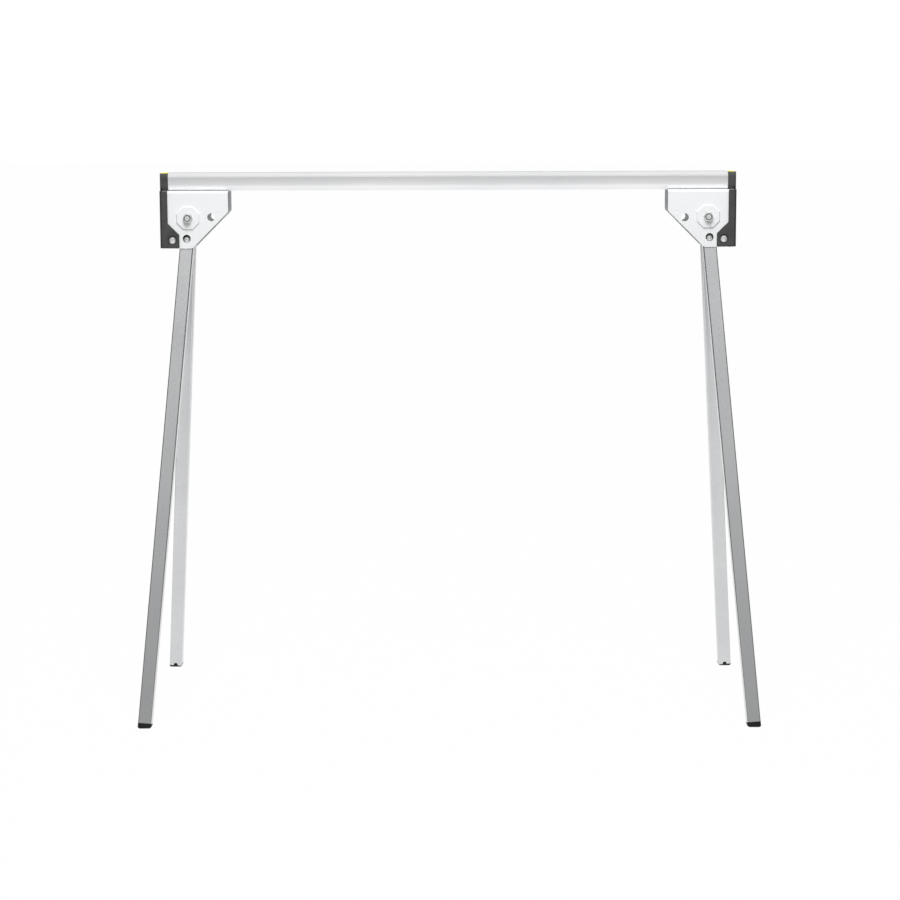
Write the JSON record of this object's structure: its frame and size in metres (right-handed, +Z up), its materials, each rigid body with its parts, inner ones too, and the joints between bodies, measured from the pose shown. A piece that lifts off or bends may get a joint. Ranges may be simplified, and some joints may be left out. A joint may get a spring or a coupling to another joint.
{
  "type": "folding sawhorse",
  "caption": "Folding sawhorse: a square-tube top rail on pressed end brackets, with splayed square-tube legs that close together and fold up under the rail.",
  "frame": {"origin": "on the floor under the middle of the rail", "axes": "+X along the rail to the right, -Y to the front, +Z up"},
  "size_m": [0.954, 0.4308, 0.84],
  "materials": {
    "rail_steel": "satin silver-grey coat",
    "bracket_steel": "smooth light silver coat",
    "leg_steel": "zinc plated, satin",
    "plated_steel": "zinc plated, dull",
    "bright_steel": "bright plated",
    "rivet_steel": "satin",
    "spring_steel": "blued strip",
    "dark_moulding": "fine grain",
    "yellow_pad": "matte",
    "black_foot": "matte",
    "nylon": "smooth"
  },
  "bodies": {
    "frame": {"top_rail": "rail_steel", "rail_end_cap_left": "dark_moulding", "cap_pad_left": "yellow_pad", "bracket_left": "bracket_steel", "bracket_rivets_left": "rivet_steel", "end_cover_left": "dark_moulding", "cover_rivets_left": "bright_steel", "pivot_bolt_left": "bright_steel", "pivot_nut_left": "bright_steel", "nut_ring_left": "nylon", "pivot_sleeve_left": "plated_steel", "pivot_washers_left": "plated_steel", "rail_end_cap_right": "dark_moulding", "cap_pad_right": "yellow_pad", "bracket_right": "bracket_steel", "bracket_rivets_right": "rivet_steel", "end_cover_right": "dark_moulding", "cover_rivets_right": "bright_steel", "pivot_bolt_right": "bright_steel", "pivot_nut_right": "bright_steel", "nut_ring_right": "nylon", "pivot_sleeve_right": "plated_steel", "pivot_washers_right": "plated_steel"},
    "clevis_left": {"leg_clevis_left": "plated_steel", "splay_pin_front_left": "bright_steel", "splay_pin_back_left": "bright_steel"},
    "leg_front_left": {"leg_tube_front_left": "leg_steel", "foot_plug_front_left": "black_foot", "button_spring_front_left": "spring_steel"},
    "button_front_left": {"lock_button_front_left": "bright_steel"},
    "leg_back_left": {"leg_tube_back_left": "leg_steel", "foot_plug_back_left": "black_foot", "button_spring_back_left": "spring_steel"},
    "button_back_left": {"lock_button_back_left": "bright_steel"},
    "clevis_right": {"leg_clevis_right": "plated_steel", "splay_pin_front_right": "bright_steel", "splay_pin_back_right": "bright_steel"},
    "leg_front_right": {"leg_tube_front_right": "leg_steel", "foot_plug_front_right": "black_foot", "button_spring_front_right": "spring_steel"},
    "button_front_right": {"lock_button_front_right": "bright_steel"},
    "leg_back_right": {"leg_tube_back_right": "leg_steel", "foot_plug_back_right": "black_foot", "button_spring_back_right": "spring_steel"},
    "button_back_right": {"lock_button_back_right": "bright_steel"}
  },
  "joints": [
    {"name": "fold_left", "type": "hinge", "parent": "frame", "child": "clevis_left", "pos_m": [-0.406, 0, 0.77], "axis": [0, -1, 0], "range_deg": [0, 96.5]},
    {"name": "splay_front_left", "type": "hinge", "parent": "clevis_left", "child": "leg_front_left", "pos_m": [-0.40851, -0.012, 0.7381], "axis": [0.9969, 0, -0.0785], "range_deg": [0, 14.61]},
    {"name": "button_front_left", "type": "slide", "parent": "leg_front_left", "child": "button_front_left", "axis": [0.0198, -0.9677, 0.2513], "range_m": [0, 0.0025], "stiffness_N_per_m": 800, "springref_m": 0.006, "deforming": ["button_spring_front_left"]},
    {"name": "splay_back_left", "type": "hinge", "parent": "clevis_left", "child": "leg_back_left", "pos_m": [-0.40851, 0.012, 0.7381], "axis": [-0.9969, 0, 0.0785], "range_deg": [0, 14.61]},
    {"name": "button_back_left", "type": "slide", "parent": "leg_back_left", "child": "button_back_left", "axis": [0.0198, 0.9677, 0.2513], "range_m": [0, 0.0025], "stiffness_N_per_m": 800, "springref_m": 0.006, "deforming": ["button_spring_back_left"]},
    {"name": "fold_right", "type": "hinge", "parent": "frame", "child": "clevis_right", "pos_m": [0.406, 0, 0.77], "axis": [0, 1, 0], "range_deg": [0, 92.5]},
    {"name": "splay_front_right", "type": "hinge", "parent": "clevis_right", "child": "leg_front_right", "pos_m": [0.40851, -0.012, 0.7381], "axis": [0.9969, 0, 0.0785], "range_deg": [0, 14.61]},
    {"name": "button_front_right", "type": "slide", "parent": "leg_front_right", "child": "button_front_right", "axis": [-0.0198, -0.9677, 0.2513], "range_m": [0, 0.0025], "stiffness_N_per_m": 800, "springref_m": 0.006, "deforming": ["button_spring_front_right"]},
    {"name": "splay_back_right", "type": "hinge", "parent": "clevis_right", "child": "leg_back_right", "pos_m": [0.40851, 0.012, 0.7381], "axis": [-0.9969, 0, -0.0785], "range_deg": [0, 14.61]},
    {"name": "button_back_right", "type": "slide", "parent": "leg_back_right", "child": "button_back_right", "axis": [-0.0198, 0.9677, 0.2513], "range_m": [0, 0.0025], "stiffness_N_per_m": 800, "springref_m": 0.006, "deforming": ["button_spring_back_right"]}
  ],
  "couplings": [
    {"joint": "splay_front_left", "follows": "fold_left", "ratio": 0.1513},
    {"joint": "splay_back_left", "follows": "fold_left", "ratio": 0.1513},
    {"joint": "splay_front_right", "follows": "fold_right", "ratio": 0.15784},
    {"joint": "splay_back_right", "follows": "fold_right", "ratio": 0.15784}
  ]
}
